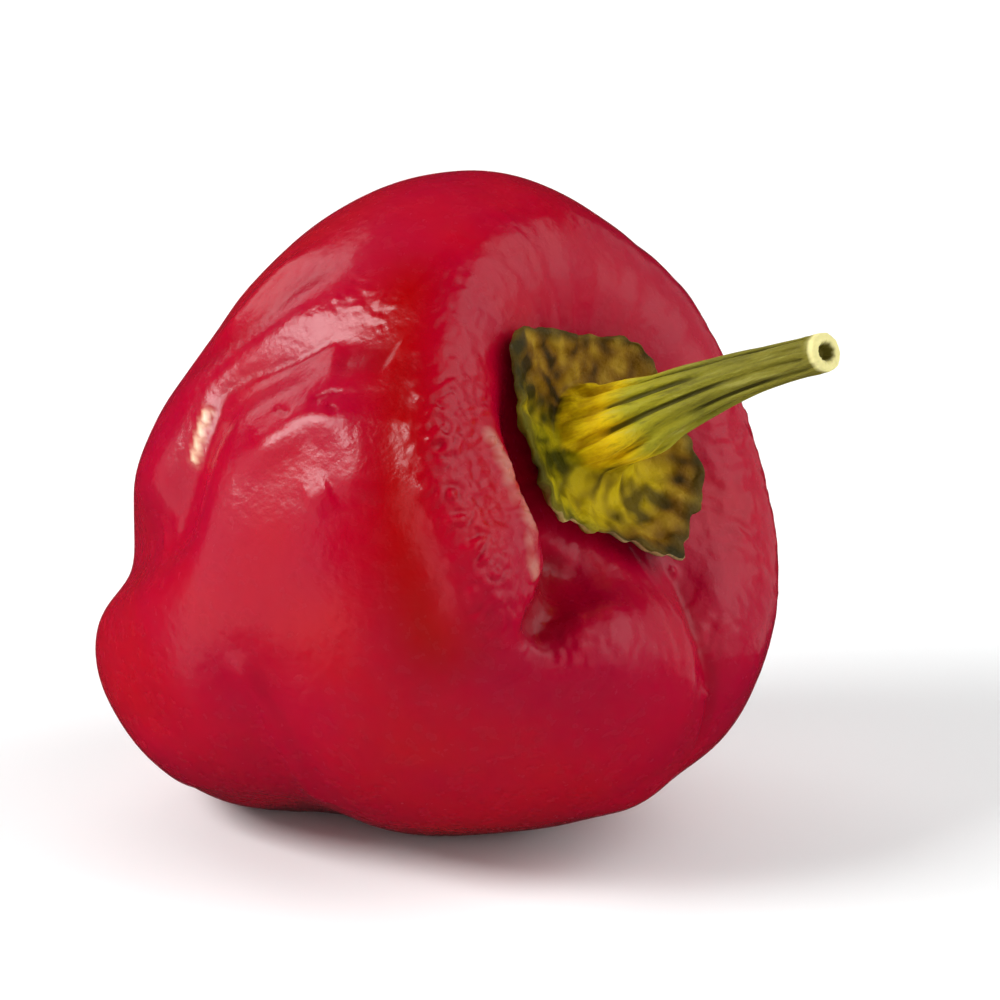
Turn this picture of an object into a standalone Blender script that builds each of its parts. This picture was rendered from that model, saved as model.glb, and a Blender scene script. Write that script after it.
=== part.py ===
"""A red scotch bonnet pepper as picked, lying on its side: the fruit, and the green stem with its calyx.

The fruit is first drawn in its own frame, standing on its axis, which runs from the blossom end up to
the stem. It is then laid over on its flank, with the stem pointing along +X and up, and it rests on a
small flat spot. Lengths are in millimetres until it is laid down.
"""

import bisect
import math

import bmesh
import bpy
from mathutils import Matrix, Vector, noise
from mathutils.bvhtree import BVHTree

MM = 0.001

# How the fruit lies: its axis rises towards the stem, and the spot that it rests on is pressed flat.
AXIS_RISE = math.radians(29)
FLAT_SPOT_DEPTH = 1.0

# The fruit's side, from the seat under the calyx over the shoulder and down to the blossom end.
# Each point is a radius and a height along the axis.
FRUIT_SIDE = [
    (0.0, 17.8),
    (4.0, 18.1),
    (8.0, 19.5),
    (12.0, 21.0),
    (16.0, 20.4),
    (19.0, 16.8),
    (21.8, 11.0),
    (23.5, 3.2),
    (22.5, -5.0),
    (19.2, -11.4),
    (15.4, -17.2),
    (10.8, -21.6),
    (5.6, -23.7),
    (0.0, -22.8),
]
SIDE_SAMPLES = 150
FRUIT_COLUMNS = 80
FRUIT_ROWS = 46
# The rows of the mesh stand closer together near the calyx, where the folds are sharpest.
ROW_CROWDING = 1.3

# The blossom end sags a little to the underside, from this height down.
SAG = 1.8
SAG_FROM_HEIGHT = 12.0
SAG_LENGTH = 36.0

# The lobes. An angle runs round the axis from the top of the lying fruit towards its near side (-Y).
# Each lobe has its spread in degrees, and how far it swells at the shoulder, the belly and the tip.
LOBES = [
    {"angle": -8, "spread": 46, "shoulder": 2.5, "belly": -0.5, "tip": -1.9},
    {"angle": 28, "spread": 34, "shoulder": -0.5, "belly": -1.9, "tip": -3.3},
    {"angle": 92, "spread": 34, "shoulder": 0.2, "belly": 0.1, "tip": 1.8},
    {"angle": 160, "spread": 34, "shoulder": 0.4, "belly": -2.3, "tip": 0.1},
    {"angle": 200, "spread": 30, "shoulder": 1.9, "belly": -0.5, "tip": -1.9},
    {"angle": 268, "spread": 40, "shoulder": -2.1, "belly": 0.8, "tip": 0.6},
]
# Where along the side, as a share of its length, each of those swellings is centred, and its reach.
SWELLINGS = {"shoulder": (0.30, 0.16), "belly": (0.58, 0.20), "tip": (0.82, 0.16)}
# Nearer the axis than this radius, the swellings fade out.
LOBES_FADE_RADIUS = 8.0

# The folds of the skin. A path's points are an angle and a length along the side from the seat.
# Width and depth are in millimetres, and a negative depth raises a ridge.
FOLDS = [
    {"path": [(42, 20), (47, 28), (51, 34), (62, 38), (71, 41), (67, 49), (60, 60)], "width": 2.4, "depth": 1.8},
    {"path": [(58, 37), (71, 41), (69, 49), (61, 57), (54, 66)], "width": 3.6, "depth": 1.2},
    {"path": [(16, 42), (30, 47)], "width": 4.5, "depth": 0.5},
    {"path": [(98, 33), (108, 37), (120, 40.5), (134, 45), (149, 50), (162, 55)], "width": 4.2, "depth": 1.4},
    {"path": [(104, 54), (126, 54)], "width": 5.0, "depth": -0.7},
    {"path": [(180, 27), (187, 31)], "width": 4.0, "depth": -0.8},
    {"path": [(190, 20), (189, 24), (190, 29), (197, 40), (200, 48)], "width": 2.8, "depth": 0.6},
    {"path": [(238, 38), (243, 50), (236, 66)], "width": 4.5, "depth": 1.3},
    {"path": [(322, 12), (324, 24), (326, 42), (320, 66)], "width": 5.0, "depth": 0.4},
    {"path": [(138, 7), (136, 9), (132, 12.4), (130, 15.6), (128.5, 18.4)], "width": 2.4, "depth": 2.4},
    {"path": [(199, 7.5), (196.8, 10), (192.8, 11.7), (188.5, 15), (187, 17), (189, 21)], "width": 1.6, "depth": 1.4},
    {"path": [(50, 16), (70, 16.6), (90, 16.4), (108, 16.8), (126, 18.6)], "width": 2.2, "depth": -0.7},
    {"path": [(60, 10.8), (80, 11.2), (100, 11.3), (118, 10.8)], "width": 1.5, "depth": -0.6},
    {"path": [(148, 11), (162, 17)], "width": 5.0, "depth": -0.8},
    {"path": [(40, 9), (75, 7.6), (112, 7.8), (150, 7.8)], "width": 2.0, "depth": 0.9},
    {"path": [(0, 72), (120, 72), (240, 72)], "width": 2.4, "depth": 0.5},
]
# A fold fades over this share of its length at each end, to this share of its depth.
FOLD_FADE = 0.2
FOLD_END = 0.25
FOLD_STEPS = 24

# The stem, whose foot stands a little above the fruit's axis, and which bows upwards to its cut end.
STEM_FOOT_HEIGHT = 22.6
STEM_FOOT_OFFSET = 1.5
STEM_TIP_HEIGHT = 43.4
STEM_TIP_OFFSET = 1.0
STEM_BOW = 0.5
# Its radius at shares of its length from the foot.
STEM_RADII = [(0.0, 2.75), (0.25, 2.2), (0.5, 1.65), (0.75, 1.36), (0.93, 1.28), (1.0, 1.44)]
STEM_ROWS = 12
RIBS = 10
COLUMNS_PER_RIB = 5
RIB_HEIGHT = 0.2
# The ribs are this much lower at the cut end.
RIB_FADE = 0.5
# The cut end: a ring with a slightly rounded edge round the hole that the dried pith left.
CUT_EDGE_SHARE = 0.9
CUT_EDGE_LENGTH = 0.2
PITH_RADIUS = 0.6
PITH_FLOOR_RADIUS = 0.5
PITH_DEPTH = 0.8

# The calyx, whose five corners are each an angle and a reach from the fruit's axis, and the depth of
# the bay in its margin from there to the next corner.
CALYX_CORNERS = [(30, 12.7, 2.3), (110, 8.3, 3.0), (191, 8.9, 0.8), (246, 8.6, 1.8), (320, 9.6, 2.2)]
BAY_FULLNESS = 2.4
CALYX_RAGGEDNESS = 0.35
MARGIN_TOOTH_SCALE = 6.0
CALYX_THICKNESS = 1.0
CALYX_MARGIN_THICKNESS = 0.7
# The margin curls up off the skin, more in some places than in others.
CALYX_LIFT = 0.65
CALYX_LIFT_UNEVEN = 0.45
CALYX_LIFT_SCALE = 1.5
CALYX_VEIN = 0.22
VEIN_FADE = 0.6
CALYX_ROWS = 7
# Where the stem's foot spreads into the calyx.
FLARE_RADIUS = 4.6
FLARE_RISE = 0.4
FLARE_ROWS = 4
# The calyx lies this far off the fruit's skin.
GAP = 0.3


def clear_scene():
    for old in list(bpy.data.objects):
        bpy.data.objects.remove(old, do_unlink=True)


def curve_point(points, share):
    """A point of the smooth curve through these points, at a share of their number from 0 to 1."""
    place = share * (len(points) - 1)
    left = min(int(place), len(points) - 2)
    t = place - left
    a, b, c, d = (Vector(points[min(max(left + step, 0), len(points) - 1)]) for step in (-1, 0, 1, 2))
    return 0.5 * (2 * b + (c - a) * t + (2 * a - 5 * b + 4 * c - d) * t**2 + (3 * b - a - 3 * c + d) * t**3)


def measured(points):
    """A finely sampled smooth curve through these points, as pairs of length from the start and point."""
    last = Vector(points[0])
    table = [(0.0, last)]
    for n in range(1, SIDE_SAMPLES + 1):
        point = curve_point(points, n / SIDE_SAMPLES)
        table.append((table[-1][0] + (point - last).length, point))
        last = point
    return table


def between(table, at):
    """The value at this place, on straight lines between a table's pairs of place and value."""
    right = min(max(bisect.bisect_left(table, at, key=lambda pair: pair[0]), 1), len(table) - 1)
    (place_a, value_a), (place_b, value_b) = table[right - 1], table[right]
    return value_a + (value_b - value_a) * min(max((at - place_a) / (place_b - place_a), 0), 1)


def bell(distance, reach):
    return math.exp(-((distance / reach) ** 2))


def direction(angle):
    """The unit direction square to the fruit's axis at this angle, in degrees."""
    return Vector((math.cos(math.radians(angle)), math.sin(math.radians(angle)), 0))


def lobe_swelling(angle, share):
    """How far the lobes swell the fruit, in this direction and at this share of its side."""
    total = 0.0
    for lobe in LOBES:
        turned = abs((angle - lobe["angle"] + 180) % 360 - 180)
        along = sum(lobe[name] * bell(share - centre, reach) for name, (centre, reach) in SWELLINGS.items())
        total += bell(turned, lobe["spread"]) * along
    return total


def fruit_point(angle, length, side):
    """A point of the lobed fruit, before its folds, at an angle and a length along the side."""
    radius, height = between(side, length)
    radius = max(radius, 0)
    radius += lobe_swelling(angle, length / side[-1][0]) * min(radius / LOBES_FADE_RADIUS, 1)
    sag = SAG * max((SAG_FROM_HEIGHT - height) / SAG_LENGTH, 0) ** 2
    return direction(angle) * radius + Vector((-sag, 0, height))


def distance_to_path(point, path):
    """The distance from a point to the nearest stretch of a path, and the share of the path there."""
    best = (math.inf, 0.0)
    for n, (start, end) in enumerate(zip(path, path[1:])):
        along = end - start
        t = min(max((point - start).dot(along) / along.length_squared, 0), 1)
        best = min(best, ((start + along * t - point).length, (n + t) / (len(path) - 1)))
    return best


def press_folds(bm, side):
    """Moves the skin in along its normal near each fold, fading out at the fold's ends."""
    for fold in FOLDS:
        bm.normal_update()
        shares = [n / FOLD_STEPS for n in range(FOLD_STEPS + 1)]
        path = [fruit_point(*curve_point(fold["path"], share), side) for share in shares]
        for vert in list(bm.verts):
            away, share = distance_to_path(vert.co, path)
            fade = FOLD_END + (1 - FOLD_END) * min(share / FOLD_FADE, (1 - share) / FOLD_FADE, 1)
            vert.co -= vert.normal * (fold["depth"] * fade * bell(away, fold["width"]))


def close_rings(first, rings, last):
    """One closed skin: a fan at each end point, and quads from ring to ring."""
    bm = bmesh.new()
    loops = [[bm.verts.new(point) for point in ring] for ring in rings]
    ends = [bm.verts.new(first), bm.verts.new(last)]
    count = len(loops[0])
    for n in range(count):
        after = (n + 1) % count
        bm.faces.new((ends[0], loops[0][n], loops[0][after]))
        for one, other in zip(loops, loops[1:]):
            bm.faces.new((one[n], other[n], other[after], one[after]))
        bm.faces.new((ends[1], loops[-1][after], loops[-1][n]))
    bmesh.ops.recalc_face_normals(bm, faces=bm.faces)
    return bm


def build_fruit():
    """The fruit's folded skin, and its smooth skin as the seat for the calyx, which bridges the folds."""
    side = measured(FRUIT_SIDE)
    whole = side[-1][0]
    lengths = [whole * (n / FRUIT_ROWS) ** ROW_CROWDING for n in range(1, FRUIT_ROWS)]
    angles = [360 * n / FRUIT_COLUMNS for n in range(FRUIT_COLUMNS)]
    rings = [[fruit_point(angle, length, side) for angle in angles] for length in lengths]
    bm = close_rings(fruit_point(0, 0, side), rings, fruit_point(0, whole, side))
    seat = BVHTree.FromBMesh(bm)
    press_folds(bm, side)
    return bm, seat


def calyx_reach(angle):
    """How far the calyx reaches in this direction: five corners with bays between them."""
    ragged = CALYX_RAGGEDNESS * noise.noise(direction(angle) * MARGIN_TOOTH_SCALE)
    corners = CALYX_CORNERS + CALYX_CORNERS[:1]
    for (angle_a, reach_a, bay), (angle_b, reach_b, _) in zip(corners, corners[1:]):
        share = (angle - angle_a) % 360 / ((angle_b - angle_a) % 360)
        if share <= 1:
            fullness = 1 - abs(2 * share - 1) ** BAY_FULLNESS
            return reach_a + (reach_b - reach_a) * share - bay * fullness + ragged
    return CALYX_CORNERS[0][1] + ragged


def stem_centre(share):
    """The stem's centreline."""
    height = STEM_FOOT_HEIGHT + (STEM_TIP_HEIGHT - STEM_FOOT_HEIGHT) * share
    offset = STEM_FOOT_OFFSET + (STEM_TIP_OFFSET - STEM_FOOT_OFFSET) * share
    return Vector((offset + STEM_BOW * math.sin(math.pi * share), 0, height))


def stem_heading(share):
    step = 0.01
    return (stem_centre(share + step) - stem_centre(share - step)).normalized()


def stem_ring(share, scale=1.0, sink=0.0):
    """One ribbed ring of the stem, square to its centreline, or one inside it that is sunk into its end."""
    ahead = stem_heading(share)
    across = Vector((0, 1, 0))
    up = across.cross(ahead).normalized()
    centre = stem_centre(share) - ahead * sink
    ring = []
    for n in range(RIBS * COLUMNS_PER_RIB):
        turn = 2 * math.pi * n / (RIBS * COLUMNS_PER_RIB)
        rib = RIB_HEIGHT * (1 - RIB_FADE * share) * math.cos(RIBS * turn)
        radius = (between(STEM_RADII, share) + rib) * scale
        ring.append(centre + (up * math.cos(turn) + across * math.sin(turn)) * radius)
    return ring


def calyx_point(angle, share, seat, on_top):
    """A point of the calyx, on top or underneath, at a share of the way from the stem's foot to its margin."""
    foot = Vector((STEM_FOOT_OFFSET, 0, 0))
    place = foot + (direction(angle) * calyx_reach(angle) - foot) * share
    above = place + Vector((0, 0, STEM_TIP_HEIGHT))
    height = seat.ray_cast(above, Vector((0, 0, -1)))[0].z + GAP
    uneven = CALYX_LIFT_UNEVEN * noise.noise(direction(angle) * CALYX_LIFT_SCALE)
    height += (CALYX_LIFT + uneven) * share**3
    if on_top:
        height += CALYX_THICKNESS + (CALYX_MARGIN_THICKNESS - CALYX_THICKNESS) * share
        height += CALYX_VEIN * (1 + math.cos(RIBS * math.radians(angle))) / 2 * (1 - VEIN_FADE * share)
    return Vector((place.x, place.y, height))


def flare_share(angle):
    """The share of the way to the calyx's margin at which the stem's foot has spread out flat."""
    margin = direction(angle) * calyx_reach(angle) - Vector((STEM_FOOT_OFFSET, 0, 0))
    return FLARE_RADIUS / margin.length


def build_stem(seat):
    """The stem and its calyx as one closed skin, from the pith in the cut end down to the underside."""
    count = RIBS * COLUMNS_PER_RIB
    angles = [360 * n / count for n in range(count)]
    end_radius = STEM_RADII[-1][1]
    last_row = 1 - CUT_EDGE_LENGTH / (STEM_TIP_HEIGHT - STEM_FOOT_HEIGHT)
    rings = [
        stem_ring(1, PITH_FLOOR_RADIUS / end_radius, PITH_DEPTH),
        stem_ring(1, PITH_RADIUS / end_radius),
        stem_ring(1, CUT_EDGE_SHARE),
    ]
    rings += [stem_ring(last_row * (1 - n / STEM_ROWS)) for n in range(STEM_ROWS + 1)]
    foot = rings[-1]
    rim = [calyx_point(angle, flare_share(angle), seat, True) for angle in angles]
    for n in range(1, FLARE_ROWS):
        t = n / FLARE_ROWS
        corners = [Vector((p.x, p.y, q.z + FLARE_RISE)) for p, q in zip(foot, rim)]
        rings.append(
            [p * (1 - t) ** 2 + c * 2 * t * (1 - t) + q * t**2 for p, c, q in zip(foot, corners, rim)]
        )
    for n in range(CALYX_ROWS + 1):
        t = n / CALYX_ROWS
        shares = [flare_share(angle) + (1 - flare_share(angle)) * t for angle in angles]
        rings.append([calyx_point(angle, share, seat, True) for angle, share in zip(angles, shares)])
    for n in range(CALYX_ROWS):
        rings.append([calyx_point(angle, 1 - n / CALYX_ROWS, seat, False) for angle in angles])
    pith_floor = stem_centre(1) - stem_heading(1) * PITH_DEPTH
    return close_rings(pith_floor, rings, calyx_point(0, 0, seat, False))


def lay_down(bm):
    """Turns a piece from the fruit's own frame to the lying pose, in metres.

    The top of the lying fruit is the fruit frame's +X, and its near side is the fruit frame's +Y.
    """
    axis = Vector((math.cos(AXIS_RISE), 0, math.sin(AXIS_RISE)))
    top = Vector((-math.sin(AXIS_RISE), 0, math.cos(AXIS_RISE)))
    turned = Matrix((top, axis.cross(top), axis)).transposed().to_4x4()
    bm.transform(Matrix.Scale(MM, 4) @ turned)


def press_flat_spot(bm):
    """Cuts the lying fruit off level just above its lowest point, and closes it with one flat face."""
    floor = min(vert.co.z for vert in bm.verts) + FLAT_SPOT_DEPTH * MM
    geometry = bm.verts[:] + bm.edges[:] + bm.faces[:]
    cut = bmesh.ops.bisect_plane(
        bm, geom=geometry, plane_co=(0, 0, floor), plane_no=(0, 0, -1), clear_outer=True
    )
    rim = [edge for edge in cut["geom_cut"] if isinstance(edge, bmesh.types.BMEdge)]
    bmesh.ops.contextual_create(bm, geom=rim)
    bmesh.ops.recalc_face_normals(bm, faces=bm.faces)
    return floor


def make_object(name, bm, colour, roughness):
    """One named object with its own material, whose mesh is this one."""
    mesh = bpy.data.meshes.new(name)
    bm.to_mesh(mesh)
    bm.free()
    mesh.shade_smooth()
    material = bpy.data.materials.new(name)
    material.use_nodes = True
    shader = material.node_tree.nodes["Principled BSDF"]
    shader.inputs["Base Color"].default_value = (*colour, 1)
    shader.inputs["Roughness"].default_value = roughness
    shader.inputs["Metallic"].default_value = 0
    mesh.materials.append(material)
    made = bpy.data.objects.new(name, mesh)
    bpy.context.scene.collection.objects.link(made)
    return made


def centre_on_origin(objects, floor):
    """Puts the middle of the whole pepper's box over the origin, with the flat spot at height 0."""
    points = [vert.co for made in objects for vert in made.data.vertices]
    middle_x = (min(p.x for p in points) + max(p.x for p in points)) / 2
    middle_y = (min(p.y for p in points) + max(p.y for p in points)) / 2
    for made in objects:
        made.location = (-middle_x, -middle_y, -floor)


def main():
    clear_scene()
    fruit, seat = build_fruit()
    stem = build_stem(seat)
    lay_down(fruit)
    lay_down(stem)
    floor = press_flat_spot(fruit)
    made = [
        make_object("fruit", fruit, (0.55, 0.004, 0.012), 0.25),
        make_object("stem_with_calyx", stem, (0.16, 0.18, 0.03), 0.6),
    ]
    centre_on_origin(made, floor)


main()
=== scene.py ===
import math

import bmesh
import bpy
import numpy as np
from mathutils import Matrix, Vector, noise
from mathutils.bvhtree import BVHTree


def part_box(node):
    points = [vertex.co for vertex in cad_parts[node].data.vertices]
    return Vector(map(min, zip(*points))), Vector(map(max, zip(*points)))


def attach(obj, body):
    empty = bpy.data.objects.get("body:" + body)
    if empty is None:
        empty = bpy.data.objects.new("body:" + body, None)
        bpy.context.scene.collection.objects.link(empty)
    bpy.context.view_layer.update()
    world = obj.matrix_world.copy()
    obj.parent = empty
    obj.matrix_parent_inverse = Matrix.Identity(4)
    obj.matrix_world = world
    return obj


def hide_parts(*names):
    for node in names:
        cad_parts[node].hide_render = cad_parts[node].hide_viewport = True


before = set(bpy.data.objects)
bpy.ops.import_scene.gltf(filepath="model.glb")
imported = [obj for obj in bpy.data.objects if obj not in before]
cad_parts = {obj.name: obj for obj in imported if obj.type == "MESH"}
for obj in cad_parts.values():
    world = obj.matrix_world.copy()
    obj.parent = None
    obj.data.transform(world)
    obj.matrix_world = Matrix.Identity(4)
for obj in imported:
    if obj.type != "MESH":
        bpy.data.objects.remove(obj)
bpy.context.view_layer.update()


# The fruit's skin
# One thin waxy red skin over the lobes of a ripe fruit, which puckers and crinkles towards the calyx.
# It is the imported fruit's own shape made finer, and then creased, wrinkled and pimpled.
# Angles run round the fruit's axis from its top towards the near side, and tilts from the axis, in degrees.
MM = 0.001
AXIS_RISE = math.radians(29)
AXIS = np.array((math.cos(AXIS_RISE), 0, math.sin(AXIS_RISE)))
TOP = np.array((-math.sin(AXIS_RISE), 0, math.cos(AXIS_RISE)))
NEAR = np.array((0, -1, 0))
OWN_FRAME = np.array((TOP, NEAR, AXIS))
fruit_low, fruit_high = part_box("fruit")
# The point on the fruit's axis that angles and tilts are seen from.
MIDDLE = np.array((fruit_low.x + 22.1 * MM, 0, fruit_high.z - 26.6 * MM))
MERGE = 0.002 * MM
JOINED_BELOW = math.radians(60)
FINER = 2


def select_only(piece):
    bpy.ops.object.select_all(action="DESELECT")
    piece.select_set(True)
    bpy.context.view_layer.objects.active = piece


def finer_copy(node, name):
    """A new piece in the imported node's shape: its triangles merged, joined to quads and subdivided."""
    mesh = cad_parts[node].data.copy()
    mesh.name = name
    mesh.materials.clear()
    piece = bpy.data.objects.new(name, mesh)
    bpy.context.scene.collection.objects.link(piece)
    select_only(piece)
    bpy.ops.object.mode_set(mode="EDIT")
    bpy.ops.mesh.select_all(action="SELECT")
    bpy.ops.mesh.remove_doubles(threshold=MERGE)
    bpy.ops.mesh.tris_convert_to_quads(face_threshold=JOINED_BELOW, shape_threshold=JOINED_BELOW)
    bpy.ops.mesh.normals_make_consistent(inside=False)
    bpy.ops.object.mode_set(mode="OBJECT")
    bpy.ops.mesh.customdata_custom_splitnormals_clear()
    smoother = piece.modifiers.new("finer", "SUBSURF")
    smoother.levels = FINER
    smoother.render_levels = FINER
    bpy.ops.object.modifier_apply(modifier=smoother.name)
    bpy.ops.object.shade_smooth()
    return piece


def read_points(mesh):
    """The points and normals of a mesh in the fruit's own frame, the points in millimetres."""
    points = np.empty(len(mesh.vertices) * 3)
    normals = np.empty(len(mesh.vertices) * 3)
    mesh.vertices.foreach_get("co", points)
    mesh.vertices.foreach_get("normal", normals)
    return (points.reshape(-1, 3) - MIDDLE) @ OWN_FRAME.T / MM, normals.reshape(-1, 3) @ OWN_FRAME.T


def write_points(mesh, points):
    """Moves the points of a mesh to these places in the fruit's own frame."""
    mesh.vertices.foreach_set("co", (points @ OWN_FRAME * MM + MIDDLE).ravel())
    mesh.update()


def paint(mesh, name, values):
    """Keeps one number for each point of the mesh, for its material to read."""
    mesh.attributes.new(name, "FLOAT", "POINT").data.foreach_set("value", values.astype(np.float32))


def bell(away, reach):
    """One at no distance, falling smoothly to almost nothing at twice the reach."""
    return np.exp(-((away / reach) ** 2))


def smooth_step(values, low, high):
    share = np.clip((values - low) / (high - low), 0, 1)
    return share * share * (3 - 2 * share)


def within(values, near, far):
    """One up to the near value, and from there a smooth fall to nothing at the far one."""
    return smooth_step(-values, -far, -near)


def curve_point(points, share):
    """A point of the smooth curve through these points, at a share of their number from 0 to 1."""
    place = share * (len(points) - 1)
    left = min(int(place), len(points) - 2)
    t = place - left
    a, b, c, d = (np.array(points[min(max(left + step, 0), len(points) - 1)]) for step in (-1, 0, 1, 2))
    return 0.5 * (2 * b + (c - a) * t + (2 * a - 5 * b + 4 * c - d) * t**2 + (3 * b - a - 3 * c + d) * t**3)


def outwards(angle, tilt):
    """The direction of an angle and a tilt in the fruit's own frame."""
    angle, tilt = math.radians(angle), math.radians(tilt)
    return np.array((math.cos(angle) * math.sin(tilt), math.sin(angle) * math.sin(tilt), math.cos(tilt)))


def on_skin(angle, tilt):
    """The point of the skin in this direction from the fruit's middle."""
    return np.array(skin_surface.ray_cast(Vector((0, 0, 0)), Vector(outwards(angle, tilt)))[0])


PATH_STEPS = 30


def along_path(path):
    """How far each point of the skin is from a path drawn on it, and the share of the path there."""
    line = [on_skin(*curve_point(path, n / PATH_STEPS)) for n in range(PATH_STEPS + 1)]
    away = np.full(len(skin_points), np.inf)
    share = np.zeros(len(skin_points))
    for n, (start, end) in enumerate(zip(line, line[1:])):
        run = end - start
        t = np.clip((skin_points - start) @ run / (run @ run), 0, 1)
        distance = np.linalg.norm(skin_points - start - t[:, None] * run, axis=1)
        nearer = distance < away
        away[nearer] = distance[nearer]
        share[nearer] = (n + t[nearer]) / PATH_STEPS
    return away, share


def ends_faded(share, fade):
    """One along a path, falling to nothing over this share of it at either end."""
    return smooth_step(np.minimum(share, 1 - share), 0, fade)


def mottle(points, size, seed=0):
    """Smooth noise from -1 to 1 at each point, with features of this size in millimetres."""
    return np.array([noise.noise(Vector(p) / size + Vector((seed, seed, seed))) for p in points])


def angles_and_tilts(points):
    """Each point's angle round the axis, and its tilt from the axis, in degrees."""
    around = np.degrees(np.arctan2(points[:, 1], points[:, 0])) % 360
    return around, np.degrees(np.arctan2(np.hypot(points[:, 0], points[:, 1]), points[:, 2]))


# The most wrinkled parts of the skin, whose faces are split once more: lowest and highest angle and tilt.
WRINKLED_PARTS = [(22, 150, 20, 70), (180, 206, 22, 60)]
skin = finer_copy("fruit", "fruit_skin")
angle_of, tilt_of = angles_and_tilts(read_points(skin.data)[0])
wrinkled = np.zeros(len(angle_of), bool)
for low_angle, high_angle, low_tilt, high_tilt in WRINKLED_PARTS:
    at_angle = (angle_of > low_angle) & (angle_of < high_angle)
    wrinkled |= at_angle & (tilt_of > low_tilt) & (tilt_of < high_tilt)
split = bmesh.new()
split.from_mesh(skin.data)
split_edges = [edge for edge in split.edges if all(wrinkled[vert.index] for vert in edge.verts)]
bmesh.ops.subdivide_edges(split, edges=split_edges, cuts=1, use_grid_fill=True)
split.to_mesh(skin.data)
split.free()
skin_points, skin_normals = read_points(skin.data)
skin_surface = BVHTree.FromPolygons(
    [Vector(p) for p in skin_points], [tuple(face.vertices) for face in skin.data.polygons]
)
skin_angle, skin_tilt = angles_and_tilts(skin_points)
raised = np.zeros(len(skin_points))

# Creases: a path of angles and tilts, and how wide and how deep, in millimetres. A ridge has a
# negative depth.
CREASES = [
    # The groove under the upper bulge, and the dip at its head.
    (
        [(45, 52), (44.3, 57), (46.5, 62), (47.5, 69), (48, 76), (50, 81), (55, 82.5), (64, 84.5)],
        0.55,
        0.14,
    ),
    ([(50, 45), (48.5, 50), (50, 56)], 1.5, 0.3),
    # The valley and the ridge above that bulge.
    ([(26, 58), (30, 66), (37.5, 74), (40.5, 86), (39, 98)], 1.2, 0.2),
    ([(19, 64), (24, 73.5), (28.5, 77), (34, 81), (36.5, 89)], 1.2, -0.35),
    # The lower bulge: its crest, the fine cracks across it, and the lump below it.
    ([(70, 73), (66, 67), (63.5, 62), (62, 59), (63, 55), (65, 50)], 1.5, -0.45),
    ([(59, 58.5), (57.5, 56), (57.5, 52.5)], 0.25, 0.1),
    ([(60, 55.5), (62, 53.5)], 0.25, 0.14),
    ([(58, 65.5), (60.5, 62)], 0.25, 0.12),
    ([(78, 61), (76.5, 56)], 1.2, -0.16),
    # The dip between that bulge and the shoulder, and the bulge's own edge beside it.
    ([(48, 42), (54, 42.5), (60, 43), (66, 43.5)], 1.4, 0.17),
    ([(58, 50.5), (66, 50.5), (74, 51), (82, 52)], 2.2, -0.42),
    # The outer and the inner ridge beside the calyx, and the ridge low on the left flank.
    ([(60, 42), (82, 42), (92, 41.5), (104, 42), (114, 45.5), (127, 50)], 1.8, -0.4),
    ([(64, 30), (78.6, 27.5), (89.5, 27.5), (102.6, 27.5), (114, 30.5)], 0.9, -0.45),
    ([(98, 84), (103, 86.3), (115.8, 89.4), (131.5, 98.3), (138, 102)], 0.9, -0.4),
    # The two clefts below the calyx.
    ([(127, 23), (126.3, 28), (125.5, 36), (126, 43)], 0.9, 0.3),
    ([(131, 22), (130.5, 32), (129, 41)], 1.6, 0.6),
    ([(199, 25), (193, 30), (189, 33), (187.5, 37), (188, 45), (189.5, 53), (189.5, 60)], 0.5, 0.3),
]
CREASE_FADE = 0.25
# How deep each point lies in a crease, which the material uses to paint the creases a deeper red as painted
# shade.
fold_shade = np.zeros(len(skin_points))
for path, width, depth in CREASES:
    away, share = along_path(path)
    shape = depth * bell(away, width) * ends_faded(share, CREASE_FADE)
    raised -= shape
    fold_shade = np.maximum(fold_shade, shape)

# Patches of fine wrinkles: where, how far they reach, which way they run, their spacing and their height.
WRINKLES = [
    ((32.5, 55), 1.5, (33, 45), 1.0, 0.14),
    ((60, 54), 1.6, (52, 53), 0.8, 0.05),
    ((129, 45), 1.7, (129, 30), 0.7, 0.18),
    ((150, 38), 4.0, (150, 20), 1.0, 0.13),
    ((28, 40), 3.2, (15, 41), 1.1, 0.08),
    ((5, 36), 5.0, (5, 20), 1.5, 0.07),
    ((215, 42), 4.0, (215, 25), 1.2, 0.1),
]
# How far the wrinkles wander from straight lines, and the size of the gaps that break them.
WANDER_SIZE, WANDER = 2.4, 1.1
GAP_SIZE = 1.6
for at, reach, towards, spacing, height in WRINKLES:
    centre = on_skin(*at)
    run = on_skin(*towards) - centre
    away = np.linalg.norm(skin_points - centre, axis=1)
    near = away < 3 * reach
    across = np.cross(skin_normals[near].mean(axis=0), run)
    across /= np.linalg.norm(across)
    wander = mottle(skin_points[near], WANDER_SIZE) * WANDER
    phase = ((skin_points[near] - centre) @ across + wander) / spacing
    broken = smooth_step(mottle(skin_points[near], GAP_SIZE, seed=7), -0.5, 0.3)
    wave = 0.5 - np.abs(np.sin(math.pi * phase))
    raised[near] += height * wave * broken * bell(away[near], reach)

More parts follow.
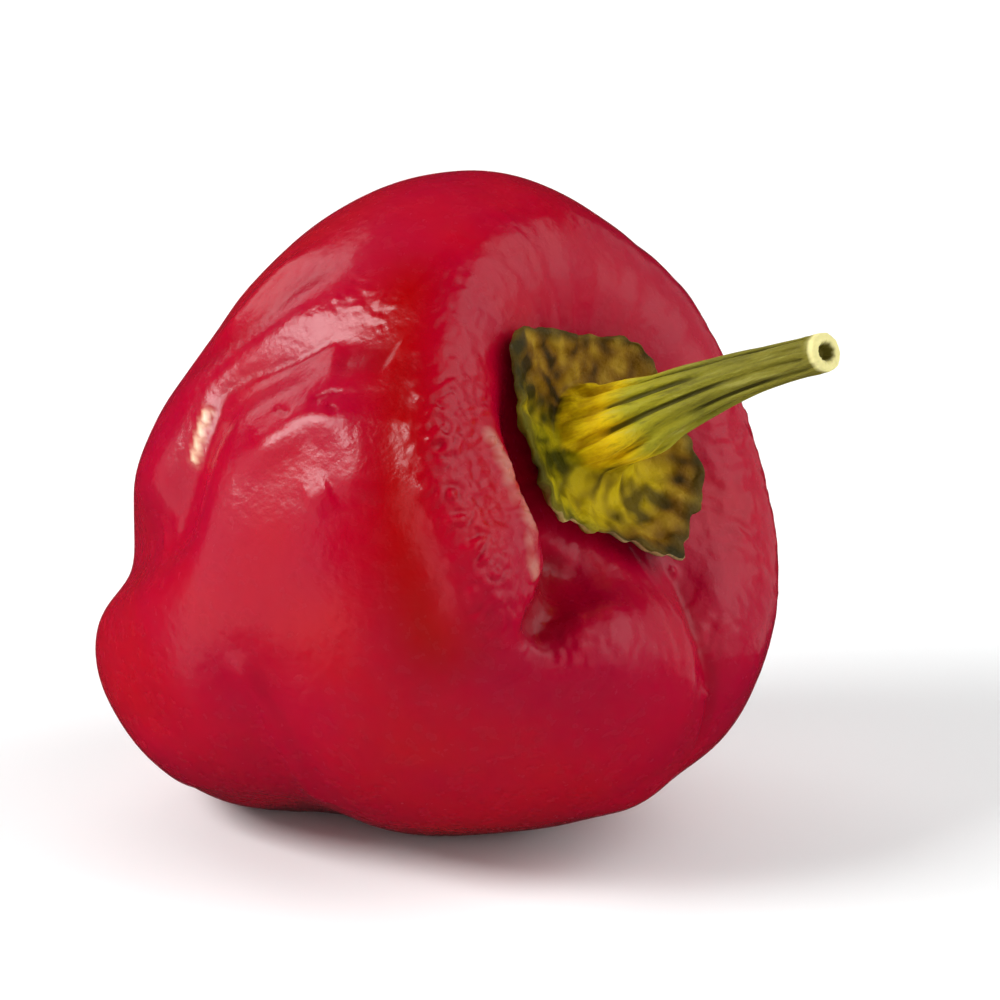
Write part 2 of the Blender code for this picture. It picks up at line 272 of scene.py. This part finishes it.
# Crinkled bands: a path, how far they reach from it, and the size and height of their small lumps.
INNER_RIDGE = [(64, 30.5), (78.6, 28), (89.5, 28), (102.6, 28), (114, 31), (119, 33)]
CRINKLES = [
    ([(58, 52), (59, 55), (60, 58)], 0.9, 0.6, 0.06),
    ([(33, 50), (38, 49.5), (43, 50.5)], 1.3, 0.7, 0.12),
    ([(37, 60), (36.5, 55), (38, 51)], 1.0, 0.6, 0.1),
    ([(50, 37), (68, 37.5), (82, 38), (92, 37.5), (104, 37.5), (114, 41), (127, 45.5)], 1.5, 1.0, 0.34),
    (INNER_RIDGE, 0.9, 0.7, 0.25),
    ([(45, 31), (70, 33), (100, 33)], 2.0, 1.1, 0.15),
    ([(345, 34), (10, 38), (32, 42)], 3.0, 1.3, 0.12),
    ([(212, 30), (235, 29), (275, 29)], 3.6, 1.2, 0.17),
]
CRINKLE_FADE = 0.15
for path, reach, size, height in CRINKLES:
    away, share = along_path(path)
    near = away < 2.5 * reach
    lumps = 1.6 * np.abs(mottle(skin_points[near], size, seed=3)) - 0.4
    lumps += 0.4 * mottle(skin_points[near], size / 2, seed=5)
    raised[near] += height * lumps * bell(away[near], reach) * ends_faded(share[near], CRINKLE_FADE)

# Small pimples, each an angle, a tilt, a radius and a height.
PIMPLES = [
    (71.5, 96.5, 0.5, 0.35),
    (72.4, 101.5, 0.6, 0.35),
    (198, 26.5, 0.4, 0.3),
    (186.5, 44, 0.4, 0.3),
    (272, 31, 0.5, 0.35),
]
for angle, tilt, reach, height in PIMPLES:
    away = np.linalg.norm(skin_points - on_skin(angle, tilt), axis=1)
    raised += height * bell(away, reach)

# The whole skin swells and dips a little, and faint streaks run down from the shoulder.
SWELL_SIZE, SWELL = 7.0, 0.12
STREAKS_ROUND, STREAK_LENGTH, STREAK = 8.0, 9.0, 0.1
STREAKED_TILT, STREAKED_REACH = 30, 35
raised += SWELL * mottle(skin_points, SWELL_SIZE, seed=1)
around = np.radians(skin_angle)
streak_places = np.column_stack(
    (np.cos(around) * STREAKS_ROUND, np.sin(around) * STREAKS_ROUND, skin_points[:, 2] / STREAK_LENGTH)
)
raised += STREAK * mottle(streak_places, 1.0, seed=2) * bell(skin_tilt - STREAKED_TILT, STREAKED_REACH)

# The blossom end closes in a dimple with a small corky scar.
BLOSSOM_END = (180, 178)
DIMPLE, DIMPLE_REACH = 0.6, 2.6
SCAR, SCAR_REACH, SCAR_PAINTED = 0.45, 1.0, 1.2
end_away = np.linalg.norm(skin_points - on_skin(*BLOSSOM_END), axis=1)
raised += SCAR * bell(end_away, SCAR_REACH) - DIMPLE * bell(end_away, DIMPLE_REACH)

# A small callus stands on the left flank. It is painted pale cream: partly its own colour and partly a
# painted highlight for the glint it catches.
CALLUS_LINE = [(60.5, 88), (56.5, 86.2), (52.5, 84.3)]
CALLUS, CALLUS_REACH, CALLUS_GLINT_REACH = 0.32, 0.5, 0.32
callus_away = along_path(CALLUS_LINE)[0]
raised += CALLUS * bell(callus_away, CALLUS_REACH)

# The spot that the fruit rests on stays flat. Nothing is raised up to the first of these heights,
# and everything from the second on.
FLAT_BELOW, FREE_ABOVE = 0.2 * MM, 2.0 * MM
heights = (skin_points @ OWN_FRAME)[:, 2] * MM + MIDDLE[2]
raised *= smooth_step(heights, FLAT_BELOW, FREE_ABOVE)
write_points(skin.data, skin_points + skin_normals * raised[:, None])

# The crest between the side and the shoulder is painted a deeper, less pink red, as painted shade where the
# crest mirrors only the dark room, and the inner ridge is corky.
CREST = [(18, 47), (35, 46), (66, 43.5), (93, 48), (110, 51), (126, 55)]
CREST_REACH = 3.0
CORK_SIZE, CORK_REACH = 1.2, 0.7
crest_away, crest_share = along_path(CREST)
cork_away, cork_share = along_path(INNER_RIDGE)
corky = smooth_step(mottle(skin_points, CORK_SIZE, seed=11), -0.9, 0.3)
paint(skin.data, "fold_shade", fold_shade)
paint(skin.data, "crest_shade", bell(crest_away, CREST_REACH) * ends_faded(crest_share, 0.2))
paint(skin.data, "corky", bell(cork_away, CORK_REACH) * ends_faded(cork_share, 0.1) * corky)
# The callus's pale paint, partly its own colour and partly a painted highlight.
paint(skin.data, "callus_glint", bell(callus_away, CALLUS_GLINT_REACH))
paint(skin.data, "scar", bell(end_away, SCAR_PAINTED))


def add(tree, kind, values=(), **settings):
    """A new shader node with these input values and settings."""
    made = tree.nodes.new(kind)
    for name, value in settings.items():
        setattr(made, name, value)
    for name, value in dict(values).items():
        made.inputs[name].default_value = value
    return made


def new_material(name):
    """A new material: its node tree, its Principled shader, and its Object coordinates."""
    made = bpy.data.materials.new(name)
    made.use_nodes = True
    tree = made.node_tree
    return made, tree, tree.nodes["Principled BSDF"], add(tree, "ShaderNodeTexCoord").outputs["Object"]


def noise_node(tree, place, size, detail=3.0, roughness=0.5):
    """Noise whose features are this size in metres."""
    made = add(tree, "ShaderNodeTexNoise", {"Scale": 1 / size, "Detail": detail, "Roughness": roughness})
    tree.links.new(place, made.inputs["Vector"])
    return made.outputs["Fac"]


def ramp_node(tree, value, stops):
    """A colour ramp with these stops, each a place and a colour."""
    made = add(tree, "ShaderNodeValToRGB")
    ramp = made.color_ramp
    while len(ramp.elements) < len(stops):
        ramp.elements.new(1.0)
    for element, (place, colour) in zip(ramp.elements, stops):
        element.position = place
        element.color = (*colour, 1)
    tree.links.new(value, made.inputs["Fac"])
    return made.outputs["Color"]


# The Mix node's own places for its share and its two colours, and for the colour it gives.
MIX_INPUTS = (0, 6, 7)
MIX_OUTPUT = 2


def mix_colours(tree, share, first, second):
    """The first colour with the second laid over it by a share."""
    made = add(tree, "ShaderNodeMix", data_type="RGBA")
    for place, value in zip(MIX_INPUTS, (share, first, second)):
        if isinstance(value, bpy.types.NodeSocket):
            tree.links.new(value, made.inputs[place])
        else:
            made.inputs[place].default_value = value
    return made.outputs[MIX_OUTPUT]


def map_range(tree, value, low, high, to_low, to_high):
    ends = {"From Min": low, "From Max": high, "To Min": to_low, "To Max": to_high}
    made = add(tree, "ShaderNodeMapRange", ends)
    tree.links.new(value, made.inputs["Value"])
    return made.outputs["Result"]


def attribute_node(tree, name):
    return add(tree, "ShaderNodeAttribute", attribute_name=name).outputs["Fac"]


def bump_node(tree, height, distance, strength=1.0, after=None):
    """A bump of this height in metres, on top of an earlier bump if there is one."""
    made = add(tree, "ShaderNodeBump", {"Strength": strength, "Distance": distance})
    tree.links.new(height, made.inputs["Height"])
    if after is not None:
        tree.links.new(after, made.inputs["Normal"])
    return made.outputs["Normal"]


# The skin's reds, the colours of its marks and of its painted shade and highlight, and the sizes of what
# varies over it.
CRIMSONS = [(0.3, (0.28, 0.0, 0.018)), (0.5, (0.32, 0.0, 0.015)), (0.7, (0.36, 0.001, 0.009))]
CREST_SHADE_RED = (0.27, 0.0, 0.001, 1)
FOLD_SHADE_RED = (0.16, 0.0, 0.002, 1)
CORK = (0.43, 0.16, 0.12, 1)
CALLUS_GLINT_CREAM = (0.75, 0.52, 0.34, 1)
SCAR_BROWN = (0.16, 0.08, 0.03, 1)
PATCH_SIZE = 14 * MM
GLOSS_SIZE = 1.2 * MM
PORE_SIZE, PORE = 0.25 * MM, 0.006 * MM
RIPPLE_SIZE, RIPPLE = 0.9 * MM, 0.065 * MM


def skin_material():
    """Ripe red skin: crimson with warmer and deeper patches and with painted shade in its creases and along
    its crest, waxy, with fine pores.
    """
    made, tree, shader, place = new_material("ripe_skin")
    link = tree.links.new
    patches = ramp_node(tree, noise_node(tree, place, PATCH_SIZE), CRIMSONS)
    # Painted shade: along the crest the red is painted deeper and less pink.
    crest_shaded = mix_colours(tree, attribute_node(tree, "crest_shade"), patches, CREST_SHADE_RED)
    # Painted shade: the creases are painted a deeper red.
    fold_shade_share = map_range(tree, attribute_node(tree, "fold_shade"), 0.0, 0.6, 0.0, 0.7)
    fold_shaded = mix_colours(tree, fold_shade_share, crest_shaded, FOLD_SHADE_RED)
    in_cork = map_range(tree, attribute_node(tree, "corky"), 0.2, 0.9, 0.0, 0.75)
    corked = mix_colours(tree, in_cork, fold_shaded, CORK)
    # Painted highlight: the callus is painted pale cream, partly its own colour and partly the glint it
    # catches.
    callus_glinted = mix_colours(tree, attribute_node(tree, "callus_glint"), corked, CALLUS_GLINT_CREAM)
    scarred = mix_colours(tree, attribute_node(tree, "scar"), callus_glinted, SCAR_BROWN)
    link(scarred, shader.inputs["Base Color"])
    gloss = map_range(tree, noise_node(tree, place, GLOSS_SIZE), 0.3, 0.7, 0.2, 0.3)
    link(gloss, shader.inputs["Roughness"])
    pores = bump_node(tree, noise_node(tree, place, PORE_SIZE, 2.0), PORE)
    ripples = bump_node(tree, noise_node(tree, place, RIPPLE_SIZE), RIPPLE, after=pores)
    link(ripples, shader.inputs["Normal"])
    shader.inputs["IOR"].default_value = 1.31
    shader.inputs["Subsurface Weight"].default_value = 0.12
    shader.inputs["Subsurface Radius"].default_value = (1.0, 0.2, 0.1)
    shader.inputs["Subsurface Scale"].default_value = 1.2 * MM
    return made


skin.data.materials.append(skin_material())
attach(skin, "root")
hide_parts("fruit")


# The stem and its calyx
# A tough green stalk, cut off with a knife, whose foot spreads into the five-cornered calyx that sits
# on the fruit's shoulder. The stalk is ribbed with fine fibres, and the calyx's dry margin curls up.
STEM_FOOT = np.array((1.5, 0, 22.6))
STEM_TIP = np.array((1.0, 0, 43.4))
STEM_BOW = 0.5
RIBS = 10
stem = finer_copy("stem_with_calyx", "stem_and_calyx")
stem_points, stem_normals = read_points(stem.data)

along = np.clip((stem_points[:, 2] - STEM_FOOT[2]) / (STEM_TIP[2] - STEM_FOOT[2]), 0, 1)
centre_top = STEM_FOOT[0] + (STEM_TIP[0] - STEM_FOOT[0]) * along + STEM_BOW * np.sin(math.pi * along)
off_centre = np.hypot(stem_points[:, 0] - centre_top, stem_points[:, 1])
turn = np.arctan2(stem_points[:, 1], stem_points[:, 0] - centre_top)
from_axis = np.hypot(stem_points[:, 0] - STEM_FOOT[0], stem_points[:, 1])
# The stalk stands above these heights, and within these distances of its own middle line.
STALK_ABOVE = (22.5, 24.0)
STALK_WITHIN = (3.1, 3.9)
on_stalk = smooth_step(stem_points[:, 2], *STALK_ABOVE) * within(off_centre, *STALK_WITHIN)
round_stem = np.stack((np.cos(turn), np.sin(turn)), axis=1)

# Fine fibres run up the stalk to its smooth cut end, and the grooves between its ribs are sharp,
# with gaps. The last part of the stalk is given as shares of its length.
FIBRES_ROUND, FIBRE_LENGTH, FIBRE = 3.2, 9.0, 0.12
GAPS_ROUND, GAPS_ALONG, GROOVE = 1.4, 2.5, 0.2
SMOOTH_FROM, STRAW_FROM, PITH_FROM = (0.93, 0.96), (0.965, 0.985), (0.85, 0.9)
fibre_places = np.column_stack((round_stem * FIBRES_ROUND, (stem_points[:, 2] - from_axis) / FIBRE_LENGTH))
fibres = mottle(fibre_places, 1.0, seed=4) + 0.6 * mottle(fibre_places, 0.45, seed=6)
before_cut = 1 - smooth_step(along, *SMOOTH_FROM)
gap_places = np.column_stack((round_stem * GAPS_ROUND, along * GAPS_ALONG))
uneven = smooth_step(mottle(gap_places, 1.0, seed=12), -0.35, 0.25)
groove = smooth_step(-np.cos(RIBS * turn), 0.55, 1.0) * uneven * on_stalk * before_cut
stem_raised = FIBRE * fibres * on_stalk * before_cut - GROOVE * groove

# The foot swells into petals between the grooves before it meets the calyx, and reaches furthest
# near its top. A crease runs round it where it meets the calyx.
FOOT_REACH, FOOT_LEAN, FOOT_TOP = 3.3, 0.75, math.radians(30)
FOOT_SWELL, SWELL_INSIDE, SWELL_REACH = 0.5, 0.7, 0.6
FOOT_CREASE, CREASE_OUTSIDE, CREASE_REACH = 0.35, 0.2, 0.35
beyond_foot = from_axis - FOOT_REACH - FOOT_LEAN * np.cos(turn - FOOT_TOP)
petals = smooth_step(np.cos(RIBS * turn), -0.9, 0.3)
low_down = 1 - smooth_step(along, 0.1, 0.25)
stem_raised += FOOT_SWELL * bell(beyond_foot + SWELL_INSIDE, SWELL_REACH) * petals * low_down
stem_raised -= FOOT_CREASE * bell(beyond_foot - CREASE_OUTSIDE, CREASE_REACH) * low_down

# The calyx is crinkled between its veins, and its margin is ragged and dry.
CRINKLE_SIZE, CRINKLE = 1.0, 0.2
VEIN = 0.14
RAGGED_SIZE, RAGGED = 1.1, 0.55
CRINKLED_FROM, MARGIN_FROM = (4.2, 5.4), (5.5, 8.0)
outer = smooth_step(from_axis, *CRINKLED_FROM) * (1 - on_stalk)
margin = smooth_step(from_axis, *MARGIN_FROM) * (1 - on_stalk)
vein = smooth_step(np.cos(RIBS * turn), 0.3, 1.0) * outer
edge = within(np.abs(stem_normals[:, 2]), 0.35, 0.8) * margin
stem_raised += CRINKLE * mottle(stem_points, CRINKLE_SIZE, seed=8) * outer + VEIN * vein * (1 - edge)
stem_points = stem_points + stem_normals * stem_raised[:, None]
ragged = RAGGED * mottle(stem_points * (1, 1, 0.2), RAGGED_SIZE, seed=9) * margin


def furthest_round(turns, reaches, steps):
    """How far the furthest of these points reach, as a function of the turn round the stalk."""
    sector = (turns % TURN / TURN * steps).astype(int) % steps
    furthest = np.zeros(steps)
    np.maximum.at(furthest, sector, reaches)
    middles = (np.arange(steps) + 0.5) / steps * TURN
    return lambda at: np.interp(at % TURN, middles, furthest, period=TURN)


# The cut end is a plain round.
TURN = 2 * math.pi
CUT_STEPS, MARGIN_STEPS = 50, 72
at_cut = along > STRAW_FROM[1]
cut_reach = furthest_round(turn[at_cut], off_centre[at_cut], CUT_STEPS)(turn)
rounded = off_centre * (cut_reach.mean() / cut_reach - 1) * (1 - before_cut)
stem_points[:, :2] += (ragged + rounded)[:, None] * round_stem
write_points(stem.data, stem_points)

# The calyx is green on its near side, olive below the stalk and brown elsewhere, in mottles that run
# outwards from the stalk. Its lower margin is bleached.
GREEN_SIDE, BLEACHED_SIDE, OLIVE_SIDE = math.radians(105), math.radians(158), math.radians(175)
OLIVE_WITHIN = (5.5, 7.5)
# The pith hollow at the cut end is painted dark brown: painted shade of the hollow over the pith's own
# brown.
PITH_WITHIN = (0.47, 0.8)
SPECKLES_ROUND, SPECKLE_LENGTH, SPOT_SIZE = 4.5, 3.5, 0.9
# How near each point is to the calyx's margin, which is dark and dry.
margin_reach = furthest_round(turn, from_axis, MARGIN_STEPS)(turn)
dry = smooth_step(from_axis / margin_reach + 0.05 * fibres, 0.84, 0.98) * margin
outward_places = np.column_stack((round_stem * SPECKLES_ROUND, from_axis / SPECKLE_LENGTH))
speckle = 0.5 + 0.5 * mottle(outward_places, 1.0, seed=15) + 0.35 * mottle(stem_points, SPOT_SIZE, seed=17)
olive = smooth_step(np.cos(turn - OLIVE_SIDE), 0.2, 0.8) * within(from_axis, *OLIVE_WITHIN)
bleached = smooth_step(np.cos(turn - BLEACHED_SIDE), 0.5, 0.9) * smooth_step(edge + 0.2 * fibres, 0.2, 0.8)
paint(stem.data, "along", along + 0.06 * fibres)
paint(stem.data, "cut", smooth_step(along, *STRAW_FROM))
paint(stem.data, "pith_shade", within(off_centre, *PITH_WITHIN) * smooth_step(along, *PITH_FROM))
paint(stem.data, "on_stalk", on_stalk)
paint(stem.data, "on_foot", within(beyond_foot + 0.3 * fibres, -0.25, 0.15))
paint(stem.data, "groove", groove)
paint(stem.data, "vein", vein)
paint(stem.data, "edge", np.maximum(edge, dry))
paint(stem.data, "speckle", speckle)
paint(stem.data, "green", smooth_step(np.cos(turn - GREEN_SIDE), 0.4, 0.9))
paint(stem.data, "olive", olive)
paint(stem.data, "bleached", bleached)


# The stalk's colours from its foot to its cut end, and the calyx's from its dark to its light speckles.
STALK_COLOURS = [
    (0.0, (0.68, 0.42, 0.002)),
    (0.08, (0.68, 0.47, 0.004)),
    (0.19, (0.3, 0.27, 0.012)),
    (0.42, (0.18, 0.165, 0.014)),
    (0.95, (0.15, 0.13, 0.014)),
]
BROWNS = [
    (0.25, (0.025, 0.013, 0.001)),
    (0.42, (0.1, 0.045, 0.002)),
    (0.62, (0.17, 0.085, 0.003)),
    (0.85, (0.27, 0.16, 0.01)),
]
GREENS = [(0.2, (0.045, 0.042, 0.001)), (0.42, (0.15, 0.125, 0.001)), (0.68, (0.34, 0.27, 0.002))]
OLIVES = [(0.2, (0.09, 0.06, 0.001)), (0.45, (0.24, 0.165, 0.001)), (0.7, (0.4, 0.29, 0.002))]
PALE_FIBRE = (0.38, 0.36, 0.09, 1)
DARK_FIBRE = (0.06, 0.055, 0.008, 1)
# Painted shade for the grooves between the stalk's ribs.
GROOVE_SHADE_BROWN = (0.03, 0.025, 0.004, 1)
VEIN_GREEN = (0.36, 0.3, 0.003, 1)
FOOT_OCHRE = (0.5, 0.3, 0.002, 1)
FOOT_YELLOW = (0.72, 0.5, 0.003, 1)
DRY_MARGIN = (0.03, 0.025, 0.006, 1)
BLEACHED_MARGIN = (0.5, 0.37, 0.16, 1)
CUT_STRAW = (0.66, 0.6, 0.26, 1)
# Painted shade of the pith hollow, over the pith's own brown.
PITH_SHADE_BROWN = (0.08, 0.065, 0.006, 1)
STREAK_SIZE, STREAK_STRETCH, STREAK_HEIGHT = 0.45 * MM, 9, 0.12 * MM
GRAIN_SIZE, GRAIN = 0.35 * MM, 0.1 * MM
DULLNESS_SIZE = 0.8 * MM


def stem_material():
    """Olive green, yellow at the foot, with pale fibres and painted shade in its grooves; brown and dry on
    the calyx.
    """
    made, tree, shader, place = new_material("green_stalk")
    link = tree.links.new
    # Object coordinates turned to the stalk's own length, for streaks that run along it.
    lengthwise = add(tree, "ShaderNodeMapping", vector_type="TEXTURE")
    lengthwise.inputs["Rotation"].default_value = (0, -AXIS_RISE, 0)
    lengthwise.inputs["Scale"].default_value = (STREAK_STRETCH, 1, 1)
    link(place, lengthwise.inputs["Vector"])
    streaks = noise_node(tree, lengthwise.outputs["Vector"], STREAK_SIZE, 4.0, 0.6)
    stalk = ramp_node(tree, attribute_node(tree, "along"), STALK_COLOURS)
    pale = mix_colours(tree, map_range(tree, streaks, 0.55, 0.75, 0.0, 0.55), stalk, PALE_FIBRE)
    dark = mix_colours(tree, map_range(tree, streaks, 0.48, 0.3, 0.0, 0.6), pale, DARK_FIBRE)
    # Painted shade: the grooves between the stalk's ribs are painted near black.
    groove_shade_share = map_range(tree, attribute_node(tree, "groove"), 0.2, 0.9, 0.0, 0.85)
    groove_shaded = mix_colours(tree, groove_shade_share, dark, GROOVE_SHADE_BROWN)
    speckle = attribute_node(tree, "speckle")
    on_veins = map_range(tree, attribute_node(tree, "vein"), 0.2, 1.0, 0.0, 0.5)
    veined = mix_colours(tree, on_veins, ramp_node(tree, speckle, GREENS), VEIN_GREEN)
    browns = ramp_node(tree, speckle, BROWNS)
    near_side = mix_colours(tree, attribute_node(tree, "green"), browns, veined)
    olives = ramp_node(tree, speckle, OLIVES)
    lower_side = mix_colours(tree, attribute_node(tree, "olive"), near_side, olives)
    yellow = map_range(tree, streaks, 0.45, 0.65, 0.0, 1.0)
    foot = mix_colours(tree, yellow, FOOT_OCHRE, FOOT_YELLOW)
    calyx = mix_colours(tree, attribute_node(tree, "on_foot"), lower_side, foot)
    fringe = mix_colours(tree, attribute_node(tree, "bleached"), DRY_MARGIN, BLEACHED_MARGIN)
    at_edge = map_range(tree, attribute_node(tree, "edge"), 0.1, 0.9, 0.0, 0.7)
    edged = mix_colours(tree, at_edge, calyx, fringe)
    both = mix_colours(tree, attribute_node(tree, "on_stalk"), edged, groove_shaded)
    cut = mix_colours(tree, attribute_node(tree, "cut"), both, CUT_STRAW)
    # Painted shade: the pith hollow is painted dark brown.
    link(mix_colours(tree, attribute_node(tree, "pith_shade"), cut, PITH_SHADE_BROWN), shader.inputs["Base Color"])
    dullness = map_range(tree, noise_node(tree, place, DULLNESS_SIZE), 0.3, 0.7, 0.45, 0.65)
    link(dullness, shader.inputs["Roughness"])
    grain = bump_node(tree, noise_node(tree, place, GRAIN_SIZE, 4.0), GRAIN)
    link(bump_node(tree, streaks, STREAK_HEIGHT, after=grain), shader.inputs["Normal"])
    shader.inputs["Specular IOR Level"].default_value = 0.1
    shader.inputs["Subsurface Weight"].default_value = 0.1
    shader.inputs["Subsurface Radius"].default_value = (0.6, 0.8, 0.2)
    shader.inputs["Subsurface Scale"].default_value = 0.4 * MM
    return made


stem.data.materials.append(stem_material())
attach(stem, "root")
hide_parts("stem_with_calyx")


# The floor
# A wide sheet of matt white paper under the pepper. It doesn't show in the skin's gloss, which
# mirrors only the softboxes and the dark room.
FLOOR_SIZE = 8.0
PAPER_WHITE = (0.86, 0.88, 0.88, 1)
bpy.ops.object.select_all(action="DESELECT")
bpy.ops.mesh.primitive_plane_add(size=FLOOR_SIZE)
floor = bpy.context.object
floor.name = "floor"
paper, _, paper_shader, _ = new_material("white_paper")
paper_shader.inputs["Base Color"].default_value = PAPER_WHITE
paper_shader.inputs["Roughness"].default_value = 0.9
floor.data.materials.append(paper)
floor.visible_glossy = False


# The camera and the lights
# The camera looks down on the pepper from its stem's side, with a long lens from 1.5 m away.
# A strong softbox stands at its left, a wide weak one at its right, and the room behind it is dark.
CAMERA_AZIMUTH = math.radians(41)
CAMERA_HEIGHT = math.radians(19)
CAMERA_AWAY = 1.465
LENS_MM = 752
# How far right of and above the fruit's middle the camera aims.
AIM_RIGHT, AIM_UP = 5.8 * MM, 2.5 * MM
towards_camera = Vector(
    (
        math.sin(CAMERA_AZIMUTH) * math.cos(CAMERA_HEIGHT),
        -math.cos(CAMERA_AZIMUTH) * math.cos(CAMERA_HEIGHT),
        math.sin(CAMERA_HEIGHT),
    )
)
camera_right = Vector((math.cos(CAMERA_AZIMUTH), math.sin(CAMERA_AZIMUTH), 0))
camera_up = towards_camera.cross(camera_right)
aim = Vector(MIDDLE) + camera_right * AIM_RIGHT + camera_up * AIM_UP

camera_data = bpy.data.cameras.new("camera")
camera_data.lens = LENS_MM
camera = bpy.data.objects.new("camera", camera_data)
bpy.context.scene.collection.objects.link(camera)
camera.location = aim + towards_camera * CAMERA_AWAY
camera.rotation_euler = (-towards_camera).to_track_quat("-Z", "Y").to_euler()
bpy.context.scene.camera = camera

# Each softbox: where it stands in the camera's view (right, up, towards), its distance, width, height
# and power, and whether the waxy skin mirrors it. They hang level with the camera.
SOFTBOXES = [
    ("left_softbox", (-0.79, 0.454, 0.413), 0.6, 0.39, 0.21, 4.2, True),
    ("left_wall", (-0.95, -0.2, 0.25), 0.7, 0.8, 0.8, 2.2, True),
    ("left_back", (-0.618, 0.656, -0.433), 0.7, 0.25, 0.25, 0.45, True),
    ("right_softbox", (0.723, 0.469, 0.507), 0.6, 0.9, 0.9, 2.1, True),
    ("right_core", (0.757, 0.559, 0.337), 0.6, 0.5, 0.5, 0.9, True),
    ("right_wall", (0.837, 0.259, -0.483), 0.7, 0.6, 0.6, 0.6, True),
    ("right_fill", (0.86, 0.38, 0.24), 0.8, 0.8, 0.8, 3.0, False),
    ("back_softbox", (-0.2, 0.85, -0.5), 0.7, 0.8, 0.8, 2.3, False),
    ("front_fill", (0.1, -0.2, 1.0), 0.8, 0.6, 0.6, 2.0, False),
]
for name, (right, up, towards), distance, width, height, watts, mirrored in SOFTBOXES:
    light = bpy.data.lights.new(name, "AREA")
    light.shape = "RECTANGLE"
    light.size = width
    light.size_y = height
    light.energy = watts
    lamp = bpy.data.objects.new(name, light)
    bpy.context.scene.collection.objects.link(lamp)
    heading = (camera_right * right + camera_up * up + towards_camera * towards).normalized()
    lamp.location = aim + heading * distance
    level = camera_up.cross(heading).normalized()
    lamp.rotation_euler = Matrix((level, heading.cross(level), heading)).transposed().to_euler()
    lamp.visible_camera = False
    lamp.visible_glossy = mirrored

ROOM = (0.02, 0.02, 0.02, 1)
BACKDROP = (0.95, 0.95, 0.95, 1)
world = bpy.data.worlds.new("room")
world.use_nodes = True
bpy.context.scene.world = world
room_tree = world.node_tree
room_light = room_tree.nodes["Background"]
seen = add(room_tree, "ShaderNodeLightPath").outputs["Is Camera Ray"]
room_tree.links.new(mix_colours(room_tree, seen, ROOM, BACKDROP), room_light.inputs["Color"])
bpy.context.scene.view_settings.view_transform = "Standard"
